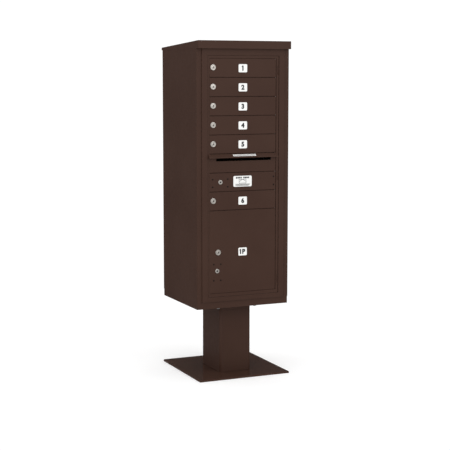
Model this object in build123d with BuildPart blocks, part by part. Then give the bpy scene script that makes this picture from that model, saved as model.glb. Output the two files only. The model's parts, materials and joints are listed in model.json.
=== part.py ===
from build123d import *
from math import sqrt
import os

# Pedestal cluster mailbox: six tenant doors, an outgoing mail slot and one parcel locker in a
# front-loading cabinet on a post. Millimetres, +Z up, front facing -Y, origin at the centre of the
# base plate's underside.

# ---------------------------------------------------------------- driving dimensions
place_tolerance = 0.01         # two places this near are the same
cabinet_width = 476.0
cabinet_depth = 440.0
cabinet_setback = 6.0          # cabinet centre behind the post's centre
sheet = 3.0                    # cabinet sheet metal
bend_radius = 2.0              # outside radius of folded corners
return_width = 20.0            # folded edges that carry other panels

plate_width = 471.5
plate_depth = 485.6
plate_thickness = 8.0
plate_corner = 4.0
plate_chamfer = 1.0            # around the plate's top edge
anchor_spacing_x = 90.0
anchor_spacing_y = 130.0
anchor_hole_radius = 8.0

post_width = 163.0
post_depth = 220.0
post_height = 327.5
post_forward = 12.0            # post's centre in front of the plate's centre
post_wall = 4.0
post_corner = 10.0
flange_thickness = 8.0
flange_overhang = 30.0         # flange beyond the post, carrying the cabinet's bolts
bolt_radius = 5.0
bolt_head_radius = 9.8
bolt_head_height = 6.4
bolt_tail = 1.6                # thread beyond the nut
nut_height = 8.4

tray_height = 34.0
tray_inset = 1.0               # tray skirt behind the cabinet's faces
module = 88.9                  # pitch of the tenant doors
module_rows = 8                # five doors, mail slot, lock panel, sixth door
slot_row = 5
lock_row = 6
tenant_rows = [0, 1, 2, 3, 4, 7]
parcel_height = 395.0

trim_proud = 5.0               # trim in front of the cabinet's front flanges
trim_half_width = 214.0
trim_bottom = 21.5
trim_top = 31.4
flange_under_trim = 16.0       # front fold of each side panel, behind the trim's edge

master_half_width = 183.3
master_gap = 1.0               # around the master door
master_bottom_rail = 16.2
master_top_rail = 11.9
master_skin = 3.0
left_stile = 7.5
right_stile = 13.8
channel_depth = 26.0           # folded edge behind the master door's skin
channel_wall = 2.0
channel_inset = 1.5
lip_width = 9.8                # rear lip that the cams and the parcel bolt hold
rail_half_height = 8.0
rail_thickness = 2.5
rail_gap = 0.6                 # rails behind the doors' barrels and folds

master_barrel_radius = 4.0
master_rod_radius = 2.0
knuckle_length = 40.0
knuckle_shares = (0.06, 0.5, 0.94)   # knuckle middles, as shares of the master door's height
knuckle_clearance = 0.4
leaf_width = 13.0
leaf_inset = 0.7
leaf_end_gap = 2.0             # leaf short of the master door's ends
rod_end_gap = 1.0              # rod short of the master door's ends

door_left_gap = 0.5
door_right_gap = 1.3
door_edge_gap = 1.1            # above and below each door
door_skin = 2.0
door_bend_radius = 1.6         # outside radius of each door's top and bottom bends
door_fold_depth = 4.0
door_fold_wall = 1.5
door_fold_end = 15.0           # folds stop short of the hinge axis
tenant_barrel_radius = 3.0
tenant_rod_radius = 1.6
lug_half_thickness = 1.2
lug_neck_half_width = 2.4
lug_clearance = 0.8
end_lug_clearance = 0.2
running_clearance = 0.08       # moving barrels and plugs, on the radius
fixed_clearance = 0.03         # rods in their fixed eyes, on the radius
skin_clearance = 0.3           # plugs through the sheet in front of them

lock_inset = 17.8              # tenant lock from the door's left edge
lock_drop = 42.5               # tenant lock below the module's top
lock_face_radius = 13.5
lock_face_thickness = 2.5
lock_face_round = 1.4
lock_barrel_radius = 9.5
lock_length = 29.0             # front plane to the rear of the barrel
plug_radius = 7.0
plug_proud = 0.5
keyway_width = 1.6
keyway_height = 8.0
keyway_depth = 14.0
cam_gap = 0.4                  # cam behind the barrel
cam_thickness = 2.0
cam_width = 12.0
cam_overlap = 7.5              # cam behind the lip when locked

plate_face_width = 44.0        # number plates
plate_face_height = 38.0
plate_face_thickness = 0.8
plate_face_corner = 5.0
plate_centre_x = -5.6
plate_drop = 1.6               # below the middle of the door

parcel_lock_x = -132.7
parcel_lock_drop = 198.4       # below the parcel door's top
parcel_cam_reach = 46.0
parcel_plate_drop = 200.6

stud_long_spacing = 77.0
stud_short_spacing = 36.0
stud_radius = 2.5
stud_head_radius = 3.6
stud_head_height = 1.2
stud_tail = 4.0                # inside the lock case
case_long = 95.0
case_short = 50.0
case_wall = 2.5
carrier_plug_radius = 8.0
carrier_face_radius = 10.5
carrier_face_thickness = 1.5
carrier_face_gap = 0.1
carrier_face_round = 0.8
carrier_key_radius = 4.0
carrier_key_depth = 18.0
drive_disc_thickness = 2.8
drive_disc_margin = 3.5
drive_pin_radius = 2.0
drive_slot_play = 0.55         # each side of the pin
bolt_plate_thickness = 4.2
bolt_plate_clearance = 0.4
bolt_nose_half_height = 8.0
bolt_nose_clearance = 0.3
bolt_body_margin = 5.0

master_case_x = -121.7
master_case_drop = 3.95        # below the lock panel's middle
master_plug_offset_x = 1.2
master_plug_offset_z = 4.3
master_bolt_tip_x = -171.0
master_bolt_throw = 20.0
carrier_case_x = -137.0
carrier_case_drop = 293.7      # below the parcel door's top
carrier_plug_offset_z = 6.4
carrier_bolt_tip_x = -166.0
carrier_bolt_throw = 14.0

rivet_x = 156.7
rivet_spacing = 38.4
strike_clearance = 3.3         # strike beside the master door's folded edge
strike_web = 3.0
strike_foot = 9.0
strike_half_height = 30.0
strike_window_clearance = 1.0
strike_back_gap = 1.0          # strike in front of the compartments
strike_screw_inset = 7.0       # from the strike's ends

slot_half_width = 142.0
slot_height = 21.5
slot_bottom_drop = 34.4        # slot's lower edge below the module's top
hood_left = -183.0
hood_right = 174.0
hood_top_drop = 0.9
hood_reach = 17.0
hood_fall = 14.0
hood_lip = 4.5
hood_sheet = 2.0
hood_root = 2.8                # the slope's sheet, measured upright at the door
hood_flange_height = 9.0
hood_flange_thickness = 1.5

wall_x = 178.0                 # compartment walls, inner faces
wall_sheet = 2.0
compartment_front = 39.0       # compartments start behind the doors' front plane
wall_above_shelf = 17.0

screw_radius = 2.4
screw_hole_clearance = 0.1
screw_head_radius = 4.5
screw_head_height = 2.6
trim_screw_length = 6.2
cap_screw_length = 11.5
trim_screw_rows = 5
trim_screw_inset = 60.0        # end screws from the ends of what they hold
leaf_screw_rows = 6
leaf_screw_inset = 110.0
cap_screw_rows = 3
cap_screw_inset = 70.0
top_panel_sheet = 2.5
top_panel_inset = 8.0

cap_front_height = 37.0
cap_back_height = 13.0
cap_front_overhang = 21.5
cap_side_overhang = 1.2
cap_back_overhang = 6.6

# ---------------------------------------------------------------- derived places
half_width = cabinet_width / 2
front_y = cabinet_setback - cabinet_depth / 2
back_y = cabinet_setback + cabinet_depth / 2
face_y = front_y - trim_proud                       # front plane of trim and doors
post_top = plate_thickness + post_height
cabinet_bottom = post_top + flange_thickness
tray_top = cabinet_bottom + tray_height
opening_bottom = tray_top + trim_bottom
master_bottom = opening_bottom + master_gap
parcel_bottom = master_bottom + master_bottom_rail
parcel_top = parcel_bottom + parcel_height
first_door_top = parcel_top + module_rows * module
master_top = first_door_top + master_top_rail
opening_top = master_top + master_gap
cabinet_top = opening_top + trim_top
opening_half_width = master_half_width + master_gap

door_left = -master_half_width + left_stile + door_left_gap
door_right = master_half_width - right_stile - door_right_gap
frame_left = door_left - door_left_gap
frame_right = door_right + door_right_gap
door_hinge_x = door_right - tenant_barrel_radius
door_hinge_y = face_y + tenant_barrel_radius
master_hinge_x = master_half_width - master_barrel_radius
master_hinge_y = face_y + master_barrel_radius
skin_back = face_y + door_skin
rail_front = face_y + max(2 * tenant_barrel_radius, door_skin + door_fold_depth) + rail_gap
channel_front = face_y + master_skin
channel_back = channel_front + channel_depth
channel_left = -master_half_width + channel_inset
lip_edge = channel_left + lip_width
lock_x = door_left + lock_inset
cam_front = face_y + lock_length + cam_gap
cam_back = cam_front + cam_thickness
cam_tip_x = lip_edge - cam_overlap
compartment_y = face_y + compartment_front
boundaries = [first_door_top - row * module for row in range(module_rows + 1)]
knuckle_middles = [
    master_bottom + (master_top - master_bottom) * share for share in knuckle_shares
]
screw_hole_radius = screw_radius + screw_hole_clearance
flange_width = post_width + 2 * flange_overhang
flange_depth = post_depth + 2 * flange_overhang
flange_bolt_spacing_x = post_width + flange_overhang
flange_bolt_spacing_y = post_depth + flange_overhang
bolt_plate_front = cam_front
bolt_plate_back = bolt_plate_front + bolt_plate_thickness
lock_middle_z = first_door_top - (lock_row + 0.5) * module
master_plug_x = master_case_x + master_plug_offset_x
master_lock_z = lock_middle_z - master_case_drop
master_plug_z = master_lock_z + master_plug_offset_z
strike_face = channel_left - strike_clearance


# ---------------------------------------------------------------- shared operations
def block(corner, opposite, mode=Mode.ADD):
    """A box between two opposite corners, in the part being built."""
    middle = tuple((a + b) / 2 for a, b in zip(corner, opposite))
    size = [abs(b - a) for a, b in zip(corner, opposite)]
    with Locations(middle):
        Box(*size, mode=mode)


def rod(start, end, radius, mode=Mode.ADD):
    """A cylinder from one point to another, in the part being built."""
    run = Vector(*end) - Vector(*start)
    with BuildSketch(Plane(origin=start, z_dir=run)) as profile:
        Circle(radius)
    extrude(profile.sketch, amount=run.length, mode=mode)


def save(builder, name):
    """Label a finished piece and write it to its own file."""
    builder.part.label = name
    export_step(builder.part, f"parts/{name}.step")


def post_plane(height):
    """A level plane at a height, centred on the post."""
    return Plane((0, -post_forward, height))


def screw(seat, direction, length):
    """A pan-head screw whose head rests on the seat and whose shank runs along the direction."""
    seat = Vector(*seat)
    direction = Vector(*direction)
    rod(seat - direction * screw_head_height, seat, screw_head_radius)
    rod(seat, seat + direction * length, screw_radius)


def spread(low, high, count):
    """Evenly spaced places from low to high."""
    return [low + (high - low) * i / (count - 1) for i in range(count)]


# ---------------------------------------------------------------- screw places
trim_screw_x = trim_half_width - flange_under_trim / 2
leaf_x = opening_half_width - leaf_inset + leaf_width / 2
strike_x = strike_face - strike_web - strike_foot / 2
front_screws = [
    (side * trim_screw_x, z)
    for side in (-1, 1)
    for z in spread(opening_bottom + trim_screw_inset, opening_top - trim_screw_inset, trim_screw_rows)
]
leaf_screws = [
    (leaf_x, z)
    for z in spread(master_bottom + leaf_screw_inset, master_top - leaf_screw_inset, leaf_screw_rows)
]
strike_screws = [
    (strike_x, lock_middle_z + offset)
    for offset in (strike_screw_inset - strike_half_height, strike_half_height - strike_screw_inset)
]
trim_screws = front_screws + leaf_screws + strike_screws
cap_screws = [
    (side * (half_width - sheet - return_width / 2), y)
    for side in (-1, 1)
    for y in spread(front_y + cap_screw_inset, back_y - cap_screw_inset, cap_screw_rows)
]

os.makedirs("parts", exist_ok=True)

# ---------------------------------------------------------------- pedestal
with BuildPart() as base_plate:
    with BuildSketch():
        RectangleRounded(plate_width, plate_depth, plate_corner)
        with GridLocations(anchor_spacing_x, anchor_spacing_y, 2, 2):
            Circle(anchor_hole_radius, mode=Mode.SUBTRACT)
    extrude(amount=plate_thickness)
    chamfer(base_plate.faces().sort_by(Axis.Z)[-1].outer_wire().edges(), plate_chamfer)
save(base_plate, "base_plate")

with BuildPart() as pedestal_post:
    with BuildSketch(post_plane(plate_thickness)):
        RectangleRounded(post_width, post_depth, post_corner)
        RectangleRounded(
            post_width - 2 * post_wall,
            post_depth - 2 * post_wall,
            post_corner - post_wall,
            mode=Mode.SUBTRACT,
        )
    extrude(amount=post_height)
save(pedestal_post, "pedestal_post")

with BuildPart() as pedestal_flange:
    with BuildSketch(post_plane(post_top)):
        RectangleRounded(flange_width, flange_depth, plate_corner)
        RectangleRounded(
            post_width - 2 * post_wall,
            post_depth - 2 * post_wall,
            post_corner - post_wall,
            mode=Mode.SUBTRACT,
        )
        with GridLocations(flange_bolt_spacing_x, flange_bolt_spacing_y, 2, 2):
            Circle(bolt_radius + screw_hole_clearance, mode=Mode.SUBTRACT)
    extrude(amount=flange_thickness)
save(pedestal_flange, "pedestal_flange")

with BuildPart() as pedestal_fasteners:
    with BuildSketch(post_plane(cabinet_bottom + sheet)):
        with GridLocations(flange_bolt_spacing_x, flange_bolt_spacing_y, 2, 2):
            RegularPolygon(bolt_head_radius, 6)
    extrude(amount=bolt_head_height)
    with BuildSketch(post_plane(cabinet_bottom + sheet)):
        with GridLocations(flange_bolt_spacing_x, flange_bolt_spacing_y, 2, 2):
            Circle(bolt_radius)
    extrude(amount=-(sheet + flange_thickness + nut_height + bolt_tail))
    with BuildSketch(post_plane(post_top)):
        with GridLocations(flange_bolt_spacing_x, flange_bolt_spacing_y, 2, 2):
            RegularPolygon(bolt_head_radius, 6)
            Circle(bolt_radius + fixed_clearance, mode=Mode.SUBTRACT)
    extrude(amount=-nut_height)
save(pedestal_fasteners, "pedestal_fasteners")

# ---------------------------------------------------------------- cabinet shell
with BuildPart() as bottom_tray:
    with BuildSketch(Plane.XY.offset(cabinet_bottom)):
        with Locations((0, cabinet_setback)):
            RectangleRounded(cabinet_width - 2 * tray_inset, cabinet_depth - 2 * tray_inset, sheet)
    extrude(amount=tray_height)
    tray_half_width = half_width - tray_inset - sheet
    block(
        (-tray_half_width, front_y + tray_inset + sheet, cabinet_bottom + sheet),
        (tray_half_width, back_y - tray_inset - sheet, tray_top - sheet),
        mode=Mode.SUBTRACT,
    )
    block(
        (return_width - tray_half_width, front_y + tray_inset + return_width, cabinet_bottom + sheet),
        (tray_half_width - return_width, back_y - tray_inset - return_width, tray_top),
        mode=Mode.SUBTRACT,
    )
    with BuildSketch(post_plane(cabinet_bottom)):
        with GridLocations(flange_bolt_spacing_x, flange_bolt_spacing_y, 2, 2):
            Circle(bolt_radius + screw_hole_clearance)
        Rectangle(post_width - 2 * post_wall, post_depth - 2 * post_wall)
    extrude(amount=sheet, mode=Mode.SUBTRACT)
save(bottom_tray, "bottom_tray")

with BuildPart() as floor_panel:
    block(
        (-half_width + sheet, front_y + sheet, tray_top + sheet),
        (half_width - sheet, back_y - 2 * sheet, tray_top + 2 * sheet),
    )
save(floor_panel, "floor_panel")

for name, side in (("side_panel_left", -1), ("side_panel_right", 1)):
    outer = side * half_width
    inner = side * (half_width - sheet)
    fold = side * (half_width - sheet - return_width)
    with BuildPart() as side_panel:
        block((outer, front_y, tray_top), (inner, back_y, cabinet_top))
        block(
            (outer, front_y, tray_top),
            (side * (trim_half_width - flange_under_trim), front_y + sheet, cabinet_top),
        )
        block((outer, back_y - 2 * sheet, tray_top), (fold, back_y - sheet, cabinet_top))
        block((outer, front_y, tray_top), (fold, back_y - sheet, tray_top + sheet))
        block((outer, front_y, cabinet_top - sheet), (fold, back_y - sheet, cabinet_top))
        outer_edges = side_panel.edges().filter_by(Axis.Z).filter_by(
            lambda edge: abs(edge.center().X - outer) < place_tolerance
        )
        fillet(outer_edges, bend_radius)
        for x, z in front_screws:
            if x * side > 0:
                rod((x, front_y, z), (x, front_y + sheet, z), screw_hole_radius, Mode.SUBTRACT)
        for x, y in cap_screws:
            if x * side > 0:
                rod((x, y, cabinet_top - sheet), (x, y, cabinet_top), screw_hole_radius, Mode.SUBTRACT)
    save(side_panel, name)

with BuildPart() as back_panel:
    block(
        (-half_width + sheet, back_y - sheet, tray_top),
        (half_width - sheet, back_y, cabinet_top),
    )
save(back_panel, "back_panel")

with BuildPart() as top_panel:
    block(
        (-half_width + top_panel_inset, front_y + top_panel_inset, cabinet_top + sheet),
        (half_width - top_panel_inset, back_y - top_panel_inset, cabinet_top + sheet + top_panel_sheet),
    )
    for x, y in cap_screws:
        rod(
            (x, y, cabinet_top + sheet),
            (x, y, cabinet_top + sheet + top_panel_sheet),
            screw_hole_radius,
            Mode.SUBTRACT,
        )
save(top_panel, "top_panel")

cap_front = front_y - cap_front_overhang
cap_back = back_y + cap_back_overhang
cap_half_width = half_width + cap_side_overhang
with BuildPart() as top_cap:
    with BuildSketch(Plane.YZ.offset(-cap_half_width)):
        with BuildLine():
            Polyline(
                (cap_front, cabinet_top),
                (cap_front, cabinet_top + cap_front_height),
                (cap_back, cabinet_top + cap_back_height),
                (cap_back, cabinet_top),
                close=True,
            )
        make_face()
    extrude(amount=2 * cap_half_width)
    fillet(top_cap.edges().filter_by(Axis.X).group_by(Axis.Z)[-1], bend_radius)
    fillet(top_cap.edges().filter_by(Axis.Z).group_by(Axis.Y)[0], bend_radius)
    with BuildSketch(Plane.YZ.offset(-cap_half_width + sheet)):
        with BuildLine():
            Polyline(
                (cap_front + sheet, cabinet_top + sheet),
                (cap_front + sheet, cabinet_top + cap_front_height - sheet),
                (cap_back - sheet, cabinet_top + cap_back_height - sheet),
                (cap_back - sheet, cabinet_top + sheet),
                close=True,
            )
        make_face()
    extrude(amount=2 * (cap_half_width - sheet), mode=Mode.SUBTRACT)
    block(
        (return_width + sheet - half_width, front_y + return_width + sheet, cabinet_top),
        (half_width - return_width - sheet, back_y - return_width - sheet, cabinet_top + sheet),
        mode=Mode.SUBTRACT,
    )
    for x, y in cap_screws:
        rod((x, y, cabinet_top), (x, y, cabinet_top + sheet), screw_hole_radius, Mode.SUBTRACT)
save(top_cap, "top_cap")

with BuildPart() as front_trim:
    block((-trim_half_width, face_y, tray_top), (trim_half_width, front_y, cabinet_top))
    fillet(front_trim.edges().filter_by(Axis.Z).group_by(Axis.Y)[0], bend_radius)
    block(
        (-opening_half_width, face_y, opening_bottom),
        (opening_half_width, front_y, opening_top),
        mode=Mode.SUBTRACT,
    )
    for x, z in trim_screws:
        depth = trim_screw_length - sheet + screw_hole_clearance
        rod((x, front_y - depth, z), (x, front_y, z), screw_hole_radius, Mode.SUBTRACT)
save(front_trim, "front_trim")

with BuildPart() as cabinet_screws:
    for x, z in trim_screws:
        screw((x, front_y + sheet, z), (0, -1, 0), trim_screw_length)
    for x, y in cap_screws:
        screw((x, y, cabinet_top - sheet), (0, 0, 1), cap_screw_length)
save(cabinet_screws, "cabinet_screws")

# ---------------------------------------------------------------- compartments
wall_bottom = tray_top + 2 * sheet
wall_top = first_door_top + wall_above_shelf
with BuildPart() as compartment_walls:
    for side in (-1, 1):
        block(
            (side * wall_x, compartment_y, wall_bottom),
            (side * (wall_x + wall_sheet), back_y - sheet, wall_top),
        )
save(compartment_walls, "compartment_walls")

with BuildPart() as compartment_shelves:
    for row, z in enumerate(boundaries):
        if row != lock_row:
            block(
                (-wall_x, compartment_y, z - wall_sheet / 2),
                (wall_x, back_y - sheet, z + wall_sheet / 2),
            )
save(compartment_shelves, "compartment_shelves")

# ---------------------------------------------------------------- master door hinge and strike
leaf_left = opening_half_width - leaf_inset
with BuildPart() as master_hinge_leaf:
    block(
        (leaf_left, front_y, master_bottom + leaf_end_gap),
        (leaf_left + leaf_width, front_y + sheet, master_top - leaf_end_gap),
    )
    for middle in knuckle_middles:
        low = middle - knuckle_length / 2
        high = middle + knuckle_length / 2
        rod(
            (master_hinge_x, master_hinge_y, low),
            (master_hinge_x, master_hinge_y, high),
            master_barrel_radius,
        )
        block((master_hinge_x, front_y, low), (leaf_left, front_y + sheet, high))
        rod(
            (master_hinge_x, master_hinge_y, low),
            (master_hinge_x, master_hinge_y, high),
            master_rod_radius + fixed_clearance,
            Mode.SUBTRACT,
        )
    for x, z in leaf_screws:
        rod((x, front_y, z), (x, front_y + sheet, z), screw_hole_radius, Mode.SUBTRACT)
save(master_hinge_leaf, "master_hinge_leaf")

with BuildPart() as master_hinge_rod:
    rod(
        (master_hinge_x, master_hinge_y, master_bottom + rod_end_gap),
        (master_hinge_x, master_hinge_y, master_top - rod_end_gap),
        master_rod_radius,
    )
save(master_hinge_rod, "master_hinge_rod")

with BuildPart() as strike_plate:
    block(
        (strike_face, front_y, lock_middle_z - strike_half_height),
        (strike_face - strike_web, compartment_y - strike_back_gap, lock_middle_z + strike_half_height),
    )
    block(
        (strike_face - strike_web, front_y, lock_middle_z - strike_half_height),
        (strike_face - strike_web - strike_foot, front_y + sheet, lock_middle_z + strike_half_height),
    )
    block(
        (
            strike_face,
            bolt_plate_front - strike_window_clearance,
            master_plug_z - bolt_nose_half_height - strike_window_clearance,
        ),
        (
            strike_face - strike_web,
            bolt_plate_back + strike_window_clearance,
            master_plug_z + bolt_nose_half_height + strike_window_clearance,
        ),
        mode=Mode.SUBTRACT,
    )
    for x, z in strike_screws:
        rod((x, front_y, z), (x, front_y + sheet, z), screw_hole_radius, Mode.SUBTRACT)
save(strike_plate, "strike_plate")

# ---------------------------------------------------------------- master door
with BuildPart() as master_frame:
    block((-master_half_width, face_y, master_bottom), (master_hinge_x, channel_front, master_top))
    rod(
        (master_hinge_x, master_hinge_y, master_bottom),
        (master_hinge_x, master_hinge_y, master_top),
        master_barrel_radius,
    )
    block(
        (channel_left, channel_front, master_bottom + channel_inset),
        (frame_right + channel_wall, channel_back, master_top - channel_inset),
    )
    block(
        (
            channel_left + channel_wall,
            channel_front,
            master_bottom + channel_inset + channel_wall,
        ),
        (frame_right, channel_back - channel_wall, master_top - channel_inset - channel_wall),
        mode=Mode.SUBTRACT,
    )
    block(
        (lip_edge, channel_front, master_bottom + channel_inset + channel_wall),
        (frame_right, channel_back, master_top - channel_inset - channel_wall),
        mode=Mode.SUBTRACT,
    )
    block(
        (frame_left, face_y, parcel_bottom),
        (frame_right, channel_front, first_door_top),
        mode=Mode.SUBTRACT,
    )
    rod(
        (master_hinge_x, master_hinge_y, master_bottom),
        (master_hinge_x, master_hinge_y, master_top),
        master_rod_radius + running_clearance,
        Mode.SUBTRACT,
    )
    for middle in knuckle_middles:
        block(
            (
                master_hinge_x - master_barrel_radius - knuckle_clearance,
                face_y,
                middle - knuckle_length / 2 - knuckle_clearance,
            ),
            (
                master_half_width,
                master_hinge_y + master_barrel_radius,
                middle + knuckle_length / 2 + knuckle_clearance,
            ),
            mode=Mode.SUBTRACT,
        )
save(master_frame, "master_frame")

rail_places = boundaries + [parcel_bottom]
with BuildPart() as master_rails:
    for index, z in enumerate(rail_places):
        is_top = index == 0
        is_bottom = index == len(rail_places) - 1
        lug_low = z - lug_half_thickness
        lug_high = z + lug_half_thickness
        if is_top:
            lug_high = z - end_lug_clearance
            lug_low = lug_high - lug_half_thickness
        if is_bottom:
            lug_low = z + end_lug_clearance
            lug_high = lug_low + lug_half_thickness
        block(
            (channel_left + channel_wall, rail_front, z - rail_half_height),
            (frame_right, rail_front + rail_thickness, z + rail_half_height),
        )
        rod(
            (door_hinge_x, door_hinge_y, lug_low),
            (door_hinge_x, door_hinge_y, lug_high),
            tenant_barrel_radius,
        )
        block(
            (door_hinge_x - lug_neck_half_width, door_hinge_y, lug_low),
            (door_hinge_x + lug_neck_half_width, rail_front, lug_high),
        )
        rod(
            (door_hinge_x, door_hinge_y, lug_low),
            (door_hinge_x, door_hinge_y, lug_high),
            tenant_rod_radius + fixed_clearance,
            Mode.SUBTRACT,
        )
save(master_rails, "master_rails")

with BuildPart() as tenant_hinge_rod:
    rod(
        (door_hinge_x, door_hinge_y, parcel_bottom + end_lug_clearance),
        (door_hinge_x, door_hinge_y, first_door_top - end_lug_clearance),
        tenant_rod_radius,
    )
save(tenant_hinge_rod, "tenant_hinge_rod")


def door_blank(top, bottom):
    """A folded door or panel with a rolled barrel on its right edge, in the part being built."""
    high = top - door_edge_gap
    low = bottom + door_edge_gap
    fold_back = skin_back + door_fold_depth
    barrel_end = lug_half_thickness + lug_clearance
    fold_right = door_hinge_x - door_fold_end
    with BuildSketch(Plane.YZ.offset(door_left)) as skin:
        with BuildLine():
            FilletPolyline(
                (skin_back, low),
                (face_y, low),
                (face_y, high),
                (skin_back, high),
                radius=door_bend_radius,
            )
            Line((skin_back, high), (skin_back, low))
        make_face()
    extrude(skin.sketch, amount=door_hinge_x - door_left)
    block((door_left, skin_back, low), (fold_right, fold_back, low + door_fold_wall))
    block((door_left, skin_back, high - door_fold_wall), (fold_right, fold_back, high))
    block((door_left, skin_back, low), (door_left + door_fold_wall, fold_back, high))
    rod((door_hinge_x, door_hinge_y, low), (door_hinge_x, door_hinge_y, high), tenant_barrel_radius)
    notch_left = door_hinge_x - tenant_barrel_radius - lug_clearance
    for end, inward in ((top, -1), (bottom, 1)):
        block(
            (notch_left, face_y, end),
            (door_right, door_hinge_y + tenant_barrel_radius, end + inward * barrel_end),
            mode=Mode.SUBTRACT,
        )
    rod(
        (door_hinge_x, door_hinge_y, low),
        (door_hinge_x, door_hinge_y, high),
        tenant_rod_radius + running_clearance,
        Mode.SUBTRACT,
    )


def skin_hole(x, z, radius):
    """A round hole through the front skin, in the part being built."""
    rod((x, face_y, z), (x, skin_back, z), radius, Mode.SUBTRACT)


def save_lock(name, x, z):
    """The fixed housing of a cam lock."""
    with BuildPart() as housing:
        rod((x, face_y - lock_face_thickness, z), (x, face_y, z), lock_face_radius)
        fillet(housing.edges().filter_by(GeomType.CIRCLE).sort_by(Axis.Y)[0], lock_face_round)
        rod((x, face_y, z), (x, face_y + lock_length, z), lock_barrel_radius)
        rod(
            (x, face_y - lock_face_thickness, z),
            (x, face_y + lock_length, z),
            plug_radius + running_clearance,
            Mode.SUBTRACT,
        )
    save(housing, name)


def save_cam(name, x, z, reach):
    """The turning plug of a cam lock with its cam, hanging down in the unlocked position."""
    front = face_y - lock_face_thickness - plug_proud
    with BuildPart() as plug:
        rod((x, front, z), (x, cam_back, z), plug_radius)
        block((x - cam_width / 2, cam_front, z - reach), (x + cam_width / 2, cam_back, z))
        block(
            (x - keyway_width / 2, front, z - keyway_height / 2),
            (x + keyway_width / 2, front + keyway_depth, z + keyway_height / 2),
            mode=Mode.SUBTRACT,
        )
    save(plug, name)


def save_number_plate(name, z):
    """A thin plate with rounded corners on a door's front."""
    with BuildPart() as plate:
        with BuildSketch(Plane(origin=(plate_centre_x, face_y, z), x_dir=(1, 0, 0), z_dir=(0, -1, 0))):
            RectangleRounded(plate_face_width, plate_face_height, plate_face_corner)
        extrude(amount=plate_face_thickness)
    save(plate, name)


# ---------------------------------------------------------------- tenant doors
for number, row in enumerate(tenant_rows, start=1):
    top = boundaries[row]
    lock_z = top - lock_drop
    with BuildPart() as tenant_door:
        door_blank(top, top - module)
        skin_hole(lock_x, lock_z, lock_barrel_radius + fixed_clearance)
    save(tenant_door, f"tenant_door_{number}")
    save_lock(f"tenant_lock_{number}", lock_x, lock_z)
    save_cam(f"tenant_cam_{number}", lock_x, lock_z, lock_x - cam_tip_x)
    save_number_plate(f"number_plate_{number}", top - module / 2 - plate_drop)


# ---------------------------------------------------------------- carrier locks
def stud_places(x, z, wide):
    """The four stud places of a carrier lock, about its case's centre."""
    spacing_x = stud_long_spacing if wide else stud_short_spacing
    spacing_z = stud_short_spacing if wide else stud_long_spacing
    return [(x + i * spacing_x / 2, z + k * spacing_z / 2) for i in (-1, 1) for k in (-1, 1)]


def studs(places):
    """Flat-headed studs through the skin and into the lock case, in the part being built."""
    for x, z in places:
        rod((x, face_y - stud_head_height, z), (x, face_y, z), stud_head_radius)
        rod((x, face_y, z), (x, skin_back + case_wall + stud_tail, z), stud_radius)


def save_case(name, x, z, wide, plug_x, plug_z):
    """The closed case of a carrier lock, with its plug's bore and its bolt's window."""
    half_x = (case_long if wide else case_short) / 2
    half_z = (case_short if wide else case_long) / 2
    case_back = bolt_plate_back + bolt_plate_clearance + case_wall
    with BuildPart() as case:
        block((x - half_x, skin_back, z - half_z), (x + half_x, case_back, z + half_z))
        block(
            (x - half_x + case_wall, skin_back + case_wall, z - half_z + case_wall),
            (x + half_x - case_wall, bolt_plate_back + bolt_plate_clearance, z + half_z - case_wall),
            mode=Mode.SUBTRACT,
        )
        rod(
            (plug_x, skin_back, plug_z),
            (plug_x, skin_back + case_wall, plug_z),
            carrier_plug_radius + running_clearance,
            Mode.SUBTRACT,
        )
        block(
            (
                x - half_x,
                bolt_plate_front - bolt_plate_clearance,
                plug_z - bolt_nose_half_height - bolt_nose_clearance,
            ),
            (
                x - half_x + case_wall,
                bolt_plate_back + bolt_plate_clearance,
                plug_z + bolt_nose_half_height + bolt_nose_clearance,
            ),
            mode=Mode.SUBTRACT,
        )
        for stud_x, stud_z in stud_places(x, z, wide):
            rod(
                (stud_x, skin_back, stud_z),
                (stud_x, skin_back + case_wall, stud_z),
                stud_radius + fixed_clearance,
                Mode.SUBTRACT,
            )
    save(case, name)


def save_carrier_plug(name, x, z, throw):
    """A carrier lock's turning plug, with the disc and the pin that throw the bolt."""
    crank = throw / sqrt(2)
    disc_back = bolt_plate_front - bolt_plate_clearance / 2
    disc_front = disc_back - drive_disc_thickness
    face = face_y - carrier_face_gap
    with BuildPart() as plug:
        rod((x, face - carrier_face_thickness, z), (x, face, z), carrier_face_radius)
        fillet(plug.edges().filter_by(GeomType.CIRCLE).sort_by(Axis.Y)[0], carrier_face_round)
        rod((x, face, z), (x, disc_front, z), carrier_plug_radius)
        rod((x, disc_front, z), (x, disc_back, z), crank + drive_disc_margin)
        pin_x = x + crank / sqrt(2)
        pin_z = z - crank / sqrt(2)
        rod(
            (pin_x, disc_back, pin_z),
            (pin_x, bolt_plate_back - bolt_plate_clearance / 2, pin_z),
            drive_pin_radius,
        )
        rod(
            (x, face - carrier_face_thickness, z),
            (x, face - carrier_face_thickness + carrier_key_depth, z),
            carrier_key_radius,
            Mode.SUBTRACT,
        )
    save(plug, name)


def save_bolt(name, x, z, throw, tip_x):
    """A carrier lock's sliding bolt, with the upright slot that its drive pin runs in."""
    crank = throw / sqrt(2)
    slot_x = x + crank / sqrt(2)
    slot_half_width = drive_pin_radius + drive_slot_play
    body_right = slot_x + slot_half_width + bolt_body_margin
    body_left = slot_x - slot_half_width - bolt_body_margin
    body_half_height = crank + bolt_body_margin
    with BuildPart() as bolt:
        block(
            (body_left, bolt_plate_front, z - body_half_height),
            (body_right, bolt_plate_back, z + bolt_nose_half_height),
        )
        block(
            (tip_x, bolt_plate_front, z - bolt_nose_half_height),
            (body_left, bolt_plate_back, z + bolt_nose_half_height),
        )
        block(
            (slot_x - slot_half_width, bolt_plate_front, z - crank - slot_half_width),
            (slot_x + slot_half_width, bolt_plate_back, z - crank / sqrt(2) + slot_half_width),
            mode=Mode.SUBTRACT,
        )
    save(bolt, name)


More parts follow.
